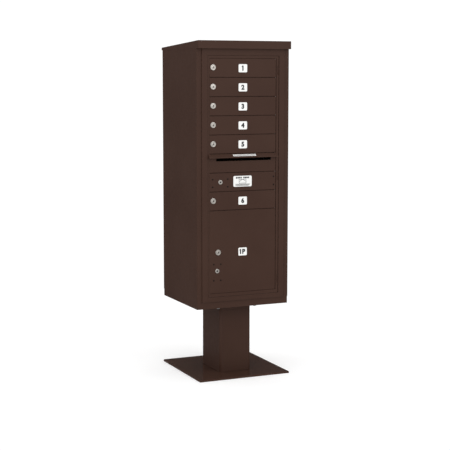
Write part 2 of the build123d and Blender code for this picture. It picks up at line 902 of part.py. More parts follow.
# ---------------------------------------------------------------- mail slot and lock panel
slot_top_z = boundaries[slot_row]
slot_low = slot_top_z - slot_bottom_drop
with BuildPart() as slot_panel:
    door_blank(slot_top_z, slot_top_z - module)
    block(
        (-slot_half_width, face_y, slot_low),
        (slot_half_width, skin_back, slot_low + slot_height),
        mode=Mode.SUBTRACT,
    )
save(slot_panel, "slot_panel")

hood_top = slot_top_z - hood_top_drop
hood_front = face_y - hood_reach
with BuildPart() as slot_hood:
    with BuildSketch(Plane.YZ.offset(hood_left)):
        with BuildLine():
            Polyline(
                (face_y, hood_top),
                (hood_front, hood_top - hood_fall),
                (hood_front, hood_top - hood_fall - hood_lip),
                (hood_front + hood_sheet, hood_top - hood_fall - hood_lip),
                (hood_front + hood_sheet, hood_top - hood_fall + hood_sheet / 2),
                (face_y, hood_top - hood_root),
                close=True,
            )
        make_face()
    extrude(amount=hood_right - hood_left)
    block(
        (door_left, face_y, hood_top - hood_sheet - hood_flange_height),
        (door_hinge_x, face_y - hood_flange_thickness, hood_top - hood_sheet),
    )
    for end in (hood_left, hood_right - hood_sheet):
        with BuildSketch(Plane.YZ.offset(end)):
            with BuildLine():
                Polyline(
                    (face_y, hood_top - hood_sheet),
                    (hood_front + hood_sheet / 2, hood_top - hood_fall),
                    (hood_front + hood_sheet / 2, hood_top - hood_fall - hood_lip),
                    (face_y, hood_top - hood_fall),
                    close=True,
                )
            make_face()
        extrude(amount=hood_sheet)
save(slot_hood, "slot_hood")

lock_panel_top = boundaries[lock_row]
rivet_places = [(rivet_x, lock_panel_top - module / 2 + k * rivet_spacing / 2) for k in (-1, 1)]
master_studs = stud_places(master_case_x, master_lock_z, True)
with BuildPart() as lock_panel:
    door_blank(lock_panel_top, lock_panel_top - module)
    skin_hole(master_plug_x, master_plug_z, carrier_plug_radius + skin_clearance)
    for x, z in master_studs:
        skin_hole(x, z, stud_radius + fixed_clearance)
    for x, z in rivet_places:
        skin_hole(x, z, stud_radius + fixed_clearance)
save(lock_panel, "lock_panel")

with BuildPart() as lock_panel_studs:
    studs(master_studs)
    studs(rivet_places)
save(lock_panel_studs, "lock_panel_studs")

save_case("master_lock_case", master_case_x, master_lock_z, True, master_plug_x, master_plug_z)
save_carrier_plug("master_lock_plug", master_plug_x, master_plug_z, master_bolt_throw)
save_bolt("master_lock_bolt", master_plug_x, master_plug_z, master_bolt_throw, master_bolt_tip_x)

# ---------------------------------------------------------------- parcel locker
parcel_lock_z = parcel_top - parcel_lock_drop
carrier_case_z = parcel_top - carrier_case_drop
carrier_plug_z = carrier_case_z + carrier_plug_offset_z
carrier_studs = stud_places(carrier_case_x, carrier_case_z, False)
with BuildPart() as parcel_door:
    door_blank(parcel_top, parcel_bottom)
    skin_hole(parcel_lock_x, parcel_lock_z, lock_barrel_radius + fixed_clearance)
    skin_hole(carrier_case_x, carrier_plug_z, carrier_plug_radius + skin_clearance)
    for x, z in carrier_studs:
        skin_hole(x, z, stud_radius + fixed_clearance)
save(parcel_door, "parcel_door")

save_lock("parcel_lock", parcel_lock_x, parcel_lock_z)
save_cam("parcel_cam", parcel_lock_x, parcel_lock_z, parcel_cam_reach)
save_number_plate("parcel_number_plate", parcel_top - parcel_plate_drop)

with BuildPart() as carrier_lock_studs:
    studs(carrier_studs)
save(carrier_lock_studs, "carrier_lock_studs")

save_case("carrier_lock_case", carrier_case_x, carrier_case_z, False, carrier_case_x, carrier_plug_z)
save_carrier_plug("carrier_lock_plug", carrier_case_x, carrier_plug_z, carrier_bolt_throw)
save_bolt("carrier_lock_bolt", carrier_case_x, carrier_plug_z, carrier_bolt_throw, carrier_bolt_tip_x)
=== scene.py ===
"""Looks of the pedestal cluster mailbox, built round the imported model: finishes for its sheet metal,
and turned, pressed and printed pieces for its locks, studs, plates and labels."""
import json
from math import pi, radians

import bmesh
import bpy
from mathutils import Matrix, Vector


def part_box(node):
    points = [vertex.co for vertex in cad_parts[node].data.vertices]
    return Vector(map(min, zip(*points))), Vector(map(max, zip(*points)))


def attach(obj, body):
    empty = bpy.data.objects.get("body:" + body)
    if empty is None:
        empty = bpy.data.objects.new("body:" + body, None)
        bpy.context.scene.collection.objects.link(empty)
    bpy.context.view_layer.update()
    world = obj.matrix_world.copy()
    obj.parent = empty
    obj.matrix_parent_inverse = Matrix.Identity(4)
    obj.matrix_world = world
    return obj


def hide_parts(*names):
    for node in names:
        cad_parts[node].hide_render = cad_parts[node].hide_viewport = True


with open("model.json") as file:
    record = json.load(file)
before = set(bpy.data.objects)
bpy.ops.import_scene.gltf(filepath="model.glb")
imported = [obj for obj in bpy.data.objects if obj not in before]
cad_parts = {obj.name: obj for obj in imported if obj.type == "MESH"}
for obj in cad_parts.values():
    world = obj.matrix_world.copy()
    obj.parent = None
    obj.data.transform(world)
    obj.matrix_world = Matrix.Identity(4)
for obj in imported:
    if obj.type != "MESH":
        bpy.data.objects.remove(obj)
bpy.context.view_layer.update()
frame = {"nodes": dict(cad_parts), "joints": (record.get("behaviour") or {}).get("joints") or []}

MM = 0.001
DOORS = range(1, 7)
FRONT = Vector((0.0, -1.0, 0.0))
WHITE = (1.0, 1.0, 1.0, 1.0)
TOUCH = 1e-6             # two corners closer than this, in metres, lie on one line
STUD_RADIUS = 3.6 * MM


# ---------------------------------------------------------------- camera, floor and light
def make_camera():
    """A long lens left of the front and a little above the middle, looking slightly down."""
    yaw, tilt = 0.41625, 0.12125
    data = bpy.data.cameras.new("camera")
    data.sensor_width = 36.0
    data.lens = 96.397
    camera = bpy.data.objects.new("camera", data)
    camera.location = (-2.3807, -5.3846, 1.4301)
    camera.rotation_euler = (pi / 2 - tilt, 0.0, -yaw)
    data.clip_end = 200.0
    bpy.context.scene.collection.objects.link(camera)
    bpy.context.scene.camera = camera


def make_area_light(name, place, target, size, power):
    """A square soft light at a place, turned to face the target."""
    data = bpy.data.lights.new(name, "AREA")
    data.shape = "SQUARE"
    data.size = size
    data.energy = power
    light = bpy.data.objects.new(name, data)
    light.location = place
    light.rotation_euler = (Vector(target) - Vector(place)).to_track_quat("-Z", "Y").to_euler()
    bpy.context.scene.collection.objects.link(light)


def make_stage():
    """A wide pale floor, dim in reflections, under an even white sky with one soft key light."""
    make_floor()
    make_sky()
    middle = (0.0, 0.0, 0.9)
    make_area_light("key_light", (1.6, -4.6, 3.2), middle, 2.6, 40.0)
    view = bpy.context.scene.view_settings
    view.view_transform = "Standard"
    view.look = "None"


def make_floor():
    """A matt white disc that glows a little; mirror-like finishes see it as dark grey."""
    deselect()
    bpy.ops.mesh.primitive_circle_add(vertices=96, radius=1.6, fill_type="NGON", location=(0, 0, 0))
    floor = bpy.context.object
    floor.name = "floor"
    material = bpy.data.materials.new("pale_floor")
    material.use_nodes = True
    shader = material.node_tree.nodes["Principled BSDF"]
    shader.inputs["Roughness"].default_value = 0.9
    w = Wiring(material.node_tree)
    rays = w.add("ShaderNodeLightPath")
    pale, dim = (0.97, 0.97, 0.97, 1.0), (0.10, 0.10, 0.10, 1.0)
    w.put(shader, "Base Color", w.blend(rays.outputs["Is Glossy Ray"], pale, dim))
    shader.inputs["Specular IOR Level"].default_value = 0.0
    shader.inputs["Emission Color"].default_value = WHITE
    shader.inputs["Emission Strength"].default_value = 0.10
    floor.data.materials.append(material)


def make_sky():
    """An even white sky; in reflections it is brightest above the front left corner."""
    brightest = (-0.45, -0.45, 0.77)
    world = bpy.data.worlds.new("sky")
    world.use_nodes = True
    w = Wiring(world.node_tree)
    direction = w.add("ShaderNodeTexCoord").outputs["Generated"]
    lean = w.add("ShaderNodeVectorMath", {"operation": "DOT_PRODUCT"})
    w.put(lean, "0", direction)
    w.put(lean, "1", brightest)
    glossy = w.remap(lean.outputs["Value"], -0.35, 0.95, 0.06, 1.20)
    is_glossy = w.add("ShaderNodeLightPath").outputs["Is Glossy Ray"]
    brightness = w.add("ShaderNodeMix")
    w.put(brightness, "Factor", is_glossy)
    w.put(brightness, "A", 1.06)
    w.put(brightness, "B", glossy)
    background = world.node_tree.nodes["Background"]
    background.inputs["Color"].default_value = WHITE
    w.put(background, "Strength", brightness.outputs["Result"])
    bpy.context.scene.world = world


# ---------------------------------------------------------------- shader node groups
class Wiring:
    """Adds nodes and links to one node tree."""

    def __init__(self, tree):
        self.tree = tree

    def add(self, kind, settings=None, **inputs):
        """A new node with its settings, and its inputs linked or set by name."""
        node = self.tree.nodes.new(kind)
        for key, value in (settings or {}).items():
            setattr(node, key, value)
        for key, value in inputs.items():
            self.put(node, key.replace("_", " "), value)
        return node

    def put(self, node, socket, value):
        """Links an output to a node's input, or sets the input to a plain value."""
        target = node.inputs[int(socket)] if socket.isdigit() else node.inputs[socket]
        if isinstance(value, bpy.types.NodeSocket):
            self.tree.links.new(value, target)
        else:
            target.default_value = value

    def math(self, operation, first, second, clamp=False):
        """One sum or product of two values."""
        node = self.tree.nodes.new("ShaderNodeMath")
        node.operation = operation
        node.use_clamp = clamp
        self.put(node, "0", first)
        self.put(node, "1", second)
        return node.outputs[0]

    def remap(self, value, low, high, to_low=0.0, to_high=1.0):
        """A smooth step of the value from one range into another."""
        node = self.tree.nodes.new("ShaderNodeMapRange")
        node.interpolation_type = "SMOOTHSTEP"
        for socket, setting in zip(("Value", "From Min", "From Max", "To Min", "To Max"),
                                   (value, low, high, to_low, to_high)):
            self.put(node, socket, setting)
        return node.outputs["Result"]

    def blend(self, mask, first, second):
        """The first colour where the mask is 0, the second where it is 1."""
        node = self.tree.nodes.new("ShaderNodeMix")
        node.data_type = "RGBA"
        self.put(node, "0", mask)
        self.put(node, "6", first)
        self.put(node, "7", second)
        return node.outputs[2]


def make_group(name, inputs, outputs):
    """An empty shader node group with named float or vector inputs and float outputs."""
    tree = bpy.data.node_groups.new(name, "ShaderNodeTree")
    for label, kind, value in inputs:
        socket = tree.interface.new_socket(label, in_out="INPUT", socket_type=kind)
        if value is not None:
            socket.default_value = value
    for label in outputs:
        tree.interface.new_socket(label, in_out="OUTPUT", socket_type="NodeSocketFloat")
    start = tree.nodes.new("NodeGroupInput")
    end = tree.nodes.new("NodeGroupOutput")
    return tree, Wiring(tree), start, end


def make_powder_texture():
    """Orange peel and fine grit of powder coat: Height for bump, Tone for colour, Gloss for roughness."""
    tree, w, start, end = make_group(
        "powder_texture",
        [("Vector", "NodeSocketVector", None), ("Peel Scale", "NodeSocketFloat", 420.0),
         ("Grit Scale", "NodeSocketFloat", 1900.0)],
        ["Height", "Tone", "Gloss"],
    )
    vector = start.outputs["Vector"]
    peel = w.add("ShaderNodeTexNoise", Vector=vector, Scale=start.outputs["Peel Scale"],
                 Detail=1.5, Roughness=0.45)
    grit = w.add("ShaderNodeTexNoise", Vector=vector, Scale=start.outputs["Grit Scale"],
                 Detail=1.0, Roughness=0.5)
    cloud = w.add("ShaderNodeTexNoise", Vector=vector, Scale=3.1, Detail=3.0, Roughness=0.55)
    patch = w.add("ShaderNodeTexNoise", Vector=vector, Scale=38.0, Detail=2.0, Roughness=0.5)
    height = w.math("ADD", w.math("MULTIPLY", peel.outputs["Fac"], 0.7),
                    w.math("MULTIPLY", grit.outputs["Fac"], 0.3))
    tone = w.math("ADD", w.math("MULTIPLY", cloud.outputs["Fac"], 0.55),
                  w.math("MULTIPLY", grit.outputs["Fac"], 0.45))
    gloss = w.math("ADD", w.math("MULTIPLY", cloud.outputs["Fac"], 0.5),
                   w.math("MULTIPLY", patch.outputs["Fac"], 0.5))
    w.put(end, "Height", height)
    w.put(end, "Tone", tone)
    w.put(end, "Gloss", gloss)
    return tree


def make_edge_wear():
    """Where a fold or a cut edge is rubbed, and where it gets a painted highlight: a mask from how far the
    rounded normal leans.
    """
    tree, w, start, end = make_group(
        "edge_wear",
        [("Vector", "NodeSocketVector", None), ("Radius", "NodeSocketFloat", 0.0016),
         ("Breakup Scale", "NodeSocketFloat", 55.0)],
        ["Mask"],
    )
    rounded = w.add("ShaderNodeBevel", {"samples": 6}, Radius=start.outputs["Radius"])
    geometry = w.add("ShaderNodeNewGeometry")
    dot = w.add("ShaderNodeVectorMath", {"operation": "DOT_PRODUCT"})
    w.put(dot, "0", rounded.outputs["Normal"])
    w.put(dot, "1", geometry.outputs["Normal"])
    lean = w.remap(dot.outputs["Value"], 0.995, 0.80)
    breakup = w.add("ShaderNodeTexNoise", Vector=start.outputs["Vector"],
                    Scale=start.outputs["Breakup Scale"], Detail=3.0, Roughness=0.6)
    mask = w.math("MULTIPLY", lean, w.remap(breakup.outputs["Fac"], 0.30, 0.68), clamp=True)
    w.put(end, "Mask", mask)
    return tree


def make_settled_dust():
    """Fine dust that settles on faces that look up, in uneven patches."""
    tree, w, start, end = make_group(
        "settled_dust",
        [("Vector", "NodeSocketVector", None), ("Amount", "NodeSocketFloat", 0.3)],
        ["Mask"],
    )
    geometry = w.add("ShaderNodeNewGeometry")
    split = w.add("ShaderNodeSeparateXYZ", Vector=geometry.outputs["Normal"])
    upward = w.remap(split.outputs["Z"], 0.45, 0.98)
    patches = w.add("ShaderNodeTexNoise", Vector=start.outputs["Vector"], Scale=9.0, Detail=5.0,
                    Roughness=0.6)
    fine = w.add("ShaderNodeTexNoise", Vector=start.outputs["Vector"], Scale=700.0, Detail=1.0)
    spread = w.math("MULTIPLY", w.remap(patches.outputs["Fac"], 0.34, 0.72),
                    w.remap(fine.outputs["Fac"], 0.25, 0.75, 0.55, 1.0))
    mask = w.math("MULTIPLY", w.math("MULTIPLY", upward, spread), start.outputs["Amount"], clamp=True)
    w.put(end, "Mask", mask)
    return tree


def make_drawn_lines():
    """Fine parallel lines of rolled or turned metal along one axis of the vector."""
    tree, w, start, end = make_group(
        "drawn_lines",
        [("Vector", "NodeSocketVector", None), ("Across", "NodeSocketFloat", 900.0),
         ("Along", "NodeSocketFloat", 12.0)],
        ["Height", "Tone"],
    )
    split = w.add("ShaderNodeSeparateXYZ", Vector=start.outputs["Vector"])
    combined = w.add("ShaderNodeCombineXYZ")
    w.put(combined, "X", w.math("MULTIPLY", split.outputs["X"], start.outputs["Across"]))
    w.put(combined, "Y", w.math("MULTIPLY", split.outputs["Y"], start.outputs["Along"]))
    w.put(combined, "Z", w.math("MULTIPLY", split.outputs["Z"], start.outputs["Across"]))
    lines = w.add("ShaderNodeTexNoise", Vector=combined.outputs["Vector"], Scale=1.0, Detail=2.0,
                  Roughness=0.6)
    smudge = w.add("ShaderNodeTexNoise", Vector=start.outputs["Vector"], Scale=14.0, Detail=3.0)
    w.put(end, "Height", lines.outputs["Fac"])
    w.put(end, "Tone", w.math("ADD", w.math("MULTIPLY", lines.outputs["Fac"], 0.5),
                              w.math("MULTIPLY", smudge.outputs["Fac"], 0.5)))
    return tree


GROUPS = {}


def group_node(w, name, **inputs):
    """A placed copy of one of the shader node groups."""
    return w.add("ShaderNodeGroup", {"node_tree": GROUPS[name]}, **inputs)


# ---------------------------------------------------------------- materials
def start_material(name, metallic=0.0, specular=0.5):
    """A new material with its principled shader's plain values set, and its object coordinates."""
    material = bpy.data.materials.new(name)
    material.use_nodes = True
    tree = material.node_tree
    shader = tree.nodes["Principled BSDF"]
    shader.inputs["Metallic"].default_value = metallic
    shader.inputs["Specular IOR Level"].default_value = specular
    w = Wiring(tree)
    place = w.add("ShaderNodeTexCoord").outputs["Object"]
    return material, w, shader, place


def add_bump(w, shader, height, strength, distance):
    """A bump of the given height field on the shader's normal."""
    bump = w.add("ShaderNodeBump", Height=height, Strength=strength, Distance=distance)
    w.put(shader, "Normal", bump.outputs["Normal"])


def make_bronze_paint(name, roughness):
    """Bronze powder coat with orange peel, rubbed edges that also carry a painted highlight, and a little
    dust on top faces.
    """
    dark, light = (0.0465, 0.0222, 0.0152, 1.0), (0.0545, 0.0268, 0.0186, 1.0)
    worn_and_highlit, dust = (0.115, 0.078, 0.058, 1.0), (0.150, 0.120, 0.095, 1.0)
    material, w, shader, place = start_material(name, specular=0.12)
    powder = group_node(w, "powder_texture", Vector=place)
    edges = group_node(w, "edge_wear", Vector=place)
    settled = group_node(w, "settled_dust", Vector=place, Amount=0.05)
    tone = w.remap(powder.outputs["Tone"], 0.36, 0.64)
    colour = w.blend(tone, dark, light)
    # Lighter paint on the edges: part rub wear, part painted edge highlight.
    colour = w.blend(w.math("MULTIPLY", edges.outputs["Mask"], 0.5), colour, worn_and_highlit)
    colour = w.blend(settled.outputs["Mask"], colour, dust)
    w.put(shader, "Base Color", colour)
    gloss = w.remap(powder.outputs["Gloss"], 0.3, 0.7, roughness - 0.05, roughness + 0.05)
    gloss = w.math("ADD", gloss, w.math("MULTIPLY", settled.outputs["Mask"], 0.3), clamp=True)
    w.put(shader, "Roughness", gloss)
    add_bump(w, shader, powder.outputs["Height"], 0.35, 0.00012)
    return material


def make_sheet_aluminium():
    """Mill-finish aluminium sheet, drawn from front to back, a little stained."""
    material, w, shader, place = start_material("mill_aluminium", metallic=0.9)
    drawn = group_node(w, "drawn_lines", Vector=place, Across=700.0, Along=9.0)
    settled = group_node(w, "settled_dust", Vector=place, Amount=0.35)
    tone = w.remap(drawn.outputs["Tone"], 0.35, 0.65)
    colour = w.blend(tone, (0.40, 0.40, 0.41, 1.0), (0.56, 0.56, 0.57, 1.0))
    colour = w.blend(settled.outputs["Mask"], colour, (0.30, 0.27, 0.23, 1.0))
    w.put(shader, "Base Color", colour)
    w.put(shader, "Roughness", w.remap(drawn.outputs["Tone"], 0.35, 0.65, 0.36, 0.52))
    add_bump(w, shader, drawn.outputs["Height"], 0.25, 0.00008)
    return material


def make_zinc_steel():
    """Zinc-plated steel of screws, rods, bolts and lock cases."""
    material, w, shader, place = start_material("zinc_steel", metallic=1.0)
    drawn = group_node(w, "drawn_lines", Vector=place, Across=1500.0, Along=260.0)
    edges = group_node(w, "edge_wear", Vector=place, Radius=0.0008)
    tone = w.remap(drawn.outputs["Tone"], 0.35, 0.65)
    colour = w.blend(tone, (0.34, 0.34, 0.35, 1.0), (0.52, 0.52, 0.51, 1.0))
    # Lighter metal on the edges: part rub wear, part painted edge highlight.
    colour = w.blend(w.math("MULTIPLY", edges.outputs["Mask"], 0.6), colour, (0.68, 0.68, 0.67, 1.0))
    w.put(shader, "Base Color", colour)
    w.put(shader, "Roughness", w.remap(drawn.outputs["Tone"], 0.35, 0.65, 0.28, 0.46))
    add_bump(w, shader, drawn.outputs["Height"], 0.2, 0.00005)
    return material


def make_nickel():
    """Bright nickel of the lock faces, with faint turning lines and fingerprints."""
    material, w, shader, place = start_material("lock_nickel", metallic=1.0)
    drawn = group_node(w, "drawn_lines", Vector=place, Across=2600.0, Along=2600.0)
    edges = group_node(w, "edge_wear", Vector=place, Radius=0.0006, Breakup_Scale=300.0)
    tone = w.remap(drawn.outputs["Tone"], 0.35, 0.65)
    colour = w.blend(tone, (0.66, 0.61, 0.56, 1.0), (0.80, 0.76, 0.71, 1.0))
    # Lighter metal on the edges: part rub wear, part painted edge highlight.
    colour = w.blend(w.math("MULTIPLY", edges.outputs["Mask"], 0.5), colour, (0.90, 0.88, 0.84, 1.0))
    w.put(shader, "Base Color", colour)
    w.put(shader, "Roughness", w.remap(drawn.outputs["Tone"], 0.35, 0.65, 0.20, 0.34))
    add_bump(w, shader, drawn.outputs["Height"], 0.12, 0.00004)
    return material


def make_speckled(name, first, second, roughness, scale, specular=0.5, worn_and_highlit=None):
    """A plain finish with fine speckle in tone and gloss, and worn edges with a painted highlight where a
    colour is given.
    """
    material, w, shader, place = start_material(name, specular=specular)
    powder = group_node(w, "powder_texture", Vector=place, Peel_Scale=scale, Grit_Scale=scale * 5)
    tone = w.remap(powder.outputs["Tone"], 0.38, 0.62)
    colour = w.blend(tone, first, second)
    if worn_and_highlit is not None:
        edges = group_node(w, "edge_wear", Vector=place, Radius=0.0007, Breakup_Scale=220.0)
        # The given edge colour: part rub wear, part painted edge highlight.
        colour = w.blend(w.math("MULTIPLY", edges.outputs["Mask"], 0.6), colour, worn_and_highlit)
    w.put(shader, "Base Color", colour)
    gloss = w.remap(powder.outputs["Gloss"], 0.3, 0.7, roughness - 0.06, roughness + 0.06)
    w.put(shader, "Roughness", gloss)
    add_bump(w, shader, powder.outputs["Height"], 0.2, 0.00006)
    return material


def make_materials():
    """Every finish of the mailbox, by name."""
    GROUPS.update(
        powder_texture=make_powder_texture(),
        edge_wear=make_edge_wear(),
        settled_dust=make_settled_dust(),
        drawn_lines=make_drawn_lines(),
    )
    return {
        "bronze": make_bronze_paint("bronze_paint", 0.46),
        "plate_bronze": make_bronze_paint("plate_bronze_paint", 0.16),
        "aluminium": make_sheet_aluminium(),
        "zinc": make_zinc_steel(),
        "nickel": make_nickel(),
        "white": make_speckled("plate_white", (0.80, 0.80, 0.78, 1.0), (0.88, 0.88, 0.87, 1.0), 0.35,
                               scale=150.0),
        "ink": make_speckled("black_ink", (0.010, 0.010, 0.011, 1.0), (0.020, 0.020, 0.021, 1.0), 0.42,
                             scale=300.0),
        # The studs' lighter edge colour is part wear, part painted edge highlight.
        "stud": make_speckled("dark_stud", (0.007, 0.004, 0.003, 1.0), (0.012, 0.007, 0.005, 1.0), 0.45,
                              scale=500.0, specular=0.12, worn_and_highlit=(0.03, 0.022, 0.018, 1.0)),
        # Near-black finish for the pieces set into the keyholes: painted shade of the keyholes' depth.
        "keyway": make_speckled("keyhole_painted_shade", (0.004, 0.004, 0.004, 1.0), (0.010, 0.009, 0.009, 1.0),
                                0.6, scale=800.0, specular=0.2),
    }


# ---------------------------------------------------------------- modelling tools
def deselect():
    """Nothing selected, and nothing left in edit mode."""
    if bpy.context.mode != "OBJECT":
        bpy.ops.object.mode_set(mode="OBJECT")
    bpy.ops.object.select_all(action="DESELECT")


def pick(piece):
    """Only this piece selected and active."""
    deselect()
    piece.select_set(True)
    bpy.context.view_layer.objects.active = piece


def settle(piece):
    """The piece's place, turn and size moved into its mesh, its object left at the origin."""
    pick(piece)
    bpy.ops.object.transform_apply(location=True, rotation=True, scale=True)


def choose_faces(piece, test):
    """Edit mode on the piece, with the faces selected whose centre and normal pass the test."""
    pick(piece)
    bpy.ops.object.mode_set(mode="EDIT")
    bpy.ops.mesh.select_mode(type="FACE")
    bpy.ops.mesh.select_all(action="DESELECT")
    mesh = bmesh.from_edit_mesh(piece.data)
    for face in mesh.faces:
        face.select = test(face.calc_center_median(), face.normal)
    mesh.select_flush_mode()
    bmesh.update_edit_mesh(piece.data)


def choose_edges(piece, test):
    """Edit mode on the piece, with the edges selected whose two ends pass the test."""
    pick(piece)
    bpy.ops.object.mode_set(mode="EDIT")
    bpy.ops.mesh.select_mode(type="EDGE")
    bpy.ops.mesh.select_all(action="DESELECT")
    mesh = bmesh.from_edit_mesh(piece.data)
    for edge in mesh.edges:
        edge.select = test(edge.verts[0].co, edge.verts[1].co)
    mesh.select_flush_mode()
    bmesh.update_edit_mesh(piece.data)


def leave_edit():
    """Back to object mode."""
    bpy.ops.object.mode_set(mode="OBJECT")


def push_faces(steps, direction):
    """Inset or push out the selected faces, step by step: ("in", inset) or ("out", distance)."""
    for kind, amount in steps:
        if kind == "in":
            bpy.ops.mesh.inset(thickness=amount)
        else:
            move = tuple(direction * amount)
            bpy.ops.mesh.extrude_region_move(TRANSFORM_OT_translate={"value": move})


def bevelled(piece, width, segments=2, angle=30.0):
    """Applies a bevel to the piece's sharp edges."""
    pick(piece)
    modifier = piece.modifiers.new("edge_round", "BEVEL")
    modifier.width = width
    modifier.segments = segments
    modifier.limit_method = "ANGLE"
    modifier.angle_limit = radians(angle)
    bpy.ops.object.modifier_apply(modifier=modifier.name)


def cut_away(piece, cutter):
    """Cuts the cutter's shape out of the piece and removes the cutter."""
    pick(piece)
    modifier = piece.modifiers.new("cut", "BOOLEAN")
    modifier.operation = "DIFFERENCE"
    modifier.object = cutter
    modifier.solver = "EXACT"
    bpy.ops.object.modifier_apply(modifier=modifier.name)
    bpy.data.objects.remove(cutter)


def smooth(piece, angle=32.0):
    """Smooth shading with creases where faces meet sharply."""
    pick(piece)
    bpy.ops.object.shade_smooth_by_angle(angle=radians(angle))


def copy_at(piece, name, offset):
    """A copy of a finished piece with its own mesh, moved by an offset in that mesh."""
    twin = piece.copy()
    twin.data = piece.data.copy()
    twin.name = name
    bpy.context.scene.collection.objects.link(twin)
    twin.location = offset
    settle(twin)
    return twin


def finish_piece(piece, name, material, body):
    """Names a piece, gives it its finish and its slot, and lets it ride on its body."""
    piece.name = name
    piece.data.name = name
    piece.data.materials.clear()
    piece.data.materials.append(material)
    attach(piece, body)


def turned(name, radius, depth, vertices):
    """A cylinder about the Y axis, its back at y = 0 and its front at y = -depth."""
    deselect()
    bpy.ops.mesh.primitive_cylinder_add(vertices=vertices, radius=radius, depth=depth,
                                        location=(0, -depth / 2, 0), rotation=(pi / 2, 0, 0))
    piece = bpy.context.object
    piece.name = name
    settle(piece)
    return piece


def slab(name, low, high):
    """A box between two corners."""
    deselect()
    low, high = Vector(low), Vector(high)
    bpy.ops.mesh.primitive_cube_add(size=1.0, location=(low + high) / 2)
    piece = bpy.context.object
    piece.name = name
    piece.scale = high - low
    settle(piece)
    return piece


def runs_back(first, second):
    """Whether two corners are the ends of an edge that runs from front to back."""
    return abs(first.x - second.x) < TOUCH and abs(first.z - second.z) < TOUCH


def is_front(centre, normal):
    """A face that looks forward."""
    return normal.y < -0.9


def is_front_middle(centre, normal):
    """A face that looks forward, at the turning axis."""
    return is_front(centre, normal) and Vector((centre.x, centre.z)).length < 1 * MM


def is_back(centre, normal):
    """A face that looks back."""
    return normal.y > 0.9


def middle_of(node):
    """The middle of a CAD node's box, in metres."""
    low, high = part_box(node)
    return (low + high) / 2


# ---------------------------------------------------------------- sheet metal from the CAD
def finish_cad_nodes(finish):
    """Gives each CAD node that stays its finish and rounds its sharp edges."""
    bronze = ["pedestal_post", "pedestal_flange", "bottom_tray", "side_panel_left", "side_panel_right",
              "back_panel", "top_cap", "front_trim", "master_frame", "slot_panel", "slot_hood",
              "lock_panel", "parcel_door", "strike_plate", "master_hinge_leaf"]
    bronze += ["master_rails"] + [f"tenant_door_{n}" for n in DOORS]
    bare = ["floor_panel", "top_panel", "compartment_walls", "compartment_shelves"]
    steel = ["pedestal_fasteners", "cabinet_screws", "master_hinge_rod", "tenant_hinge_rod",
             "master_lock_case", "master_lock_bolt", "carrier_lock_case", "carrier_lock_bolt"]
    looks = {name: ("bronze", 0.0006) for name in bronze}
    looks.update({name: ("aluminium", 0.0004) for name in bare})
    looks.update({name: ("zinc", 0.0004) for name in steel})
    looks["base_plate"] = ("plate_bronze", 0.0008)
    for name, (look, width) in looks.items():
        node = frame["nodes"][name]
        node.data.materials.clear()
        node.data.materials.append(finish[look])
        weld = node.modifiers.new("weld", "WELD")
        weld.merge_threshold = 0.00001
        bevel = node.modifiers.new("edge_round", "BEVEL")
        bevel.width = width
        bevel.segments = 2
        bevel.limit_method = "ANGLE"
        bevel.angle_limit = radians(40.0)
        bevel.harden_normals = True


# ---------------------------------------------------------------- locks
def make_lock_faces(finish):
    """The fixed face and barrel of each cam lock: a domed ring round the plug, a threaded barrel."""
    low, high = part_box("tenant_lock_1")
    face_radius = (high.x - low.x) / 2
    face_thickness = 2.5 * MM
    barrel_radius = 9.5 * MM
    bore_radius = 7.15 * MM
    first = turned("lock_face", face_radius, face_thickness, 56)
    choose_faces(first, is_front)
    push_faces([("in", 1.1 * MM)], FRONT)
    leave_edit()
    bevelled(first, 0.9 * MM, 4, 60.0)
    choose_faces(first, is_front_middle)
    push_faces([("in", 1.3 * MM), ("out", -1.1 * MM), ("in", 0.4 * MM)], FRONT)
    leave_edit()

    thread_turns = 13
    thread_depth = 0.45 * MM
    half_pitch = (high.y - low.y - face_thickness) / thread_turns * 0.5
    # The last strip of the rounded rim looks back too and is pushed along with the back face, so the
    # barrel leaves the face at its own radius and widens towards its inner end.
    choose_faces(first, is_back)
    push_faces([("in", face_radius - barrel_radius)], FRONT)
    for _ in range(thread_turns):
        push_faces([("out", -half_pitch), ("in", thread_depth), ("out", -half_pitch),
                    ("in", -thread_depth)], FRONT)
    leave_edit()

    past_both_ends = 100 * MM
    deselect()
    bpy.ops.mesh.primitive_cylinder_add(vertices=56, radius=bore_radius, depth=past_both_ends,
                                        rotation=(pi / 2, 0, 0))
    cut_away(first, bpy.context.object)
    smooth(first)

    places = {f"tenant_lock_{n}": f"door_{n}" for n in DOORS}
    places["parcel_lock"] = "parcel"
    for node, body in places.items():
        centre = middle_of(node)
        face_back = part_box(node)[0].y + face_thickness
        twin = copy_at(first, f"{node}_housing", Vector((centre.x, face_back, centre.z)))
        finish_piece(twin, f"{node}_housing", finish["nickel"], body)
        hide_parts(node)
    bpy.data.objects.remove(first)


